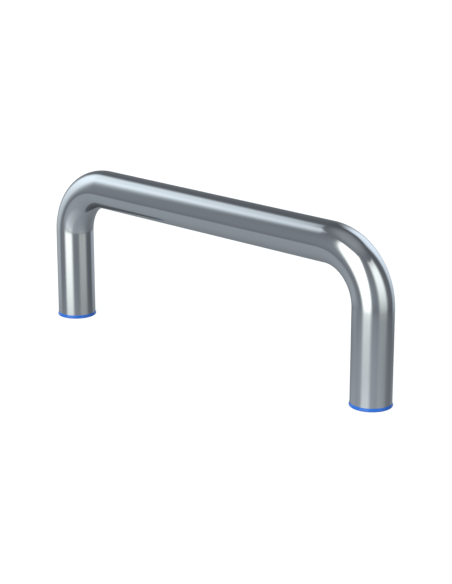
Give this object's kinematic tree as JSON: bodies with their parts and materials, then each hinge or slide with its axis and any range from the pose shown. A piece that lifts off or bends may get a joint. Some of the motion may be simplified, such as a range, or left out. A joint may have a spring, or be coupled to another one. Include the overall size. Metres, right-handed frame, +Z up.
{
  "type": "bridge pull handle",
  "caption": "Round stainless bar bent to a bridge pull handle, with a blind tapped hole and a blue sealing ring in each foot, for screwing on from behind a panel.",
  "frame": {"origin": "midway between the two feet, on the plane that the unloaded sealing rings rest on", "axes": "+X along the grip towards the right foot, +Y across the handle, +Z up from the panel to the grip"},
  "size_m": [0.1374, 0.0124, 0.0502],
  "materials": {
    "stainless_steel": "finely ground and polished smooth, as for food and pharmaceutical equipment",
    "blue_seal": "smooth moulded blue elastomer, slightly glossy"
  },
  "bodies": {
    "root": {"handle_bar": "stainless_steel", "seal_left": "blue_seal", "seal_right": "blue_seal"}
  },
  "joints": []
}
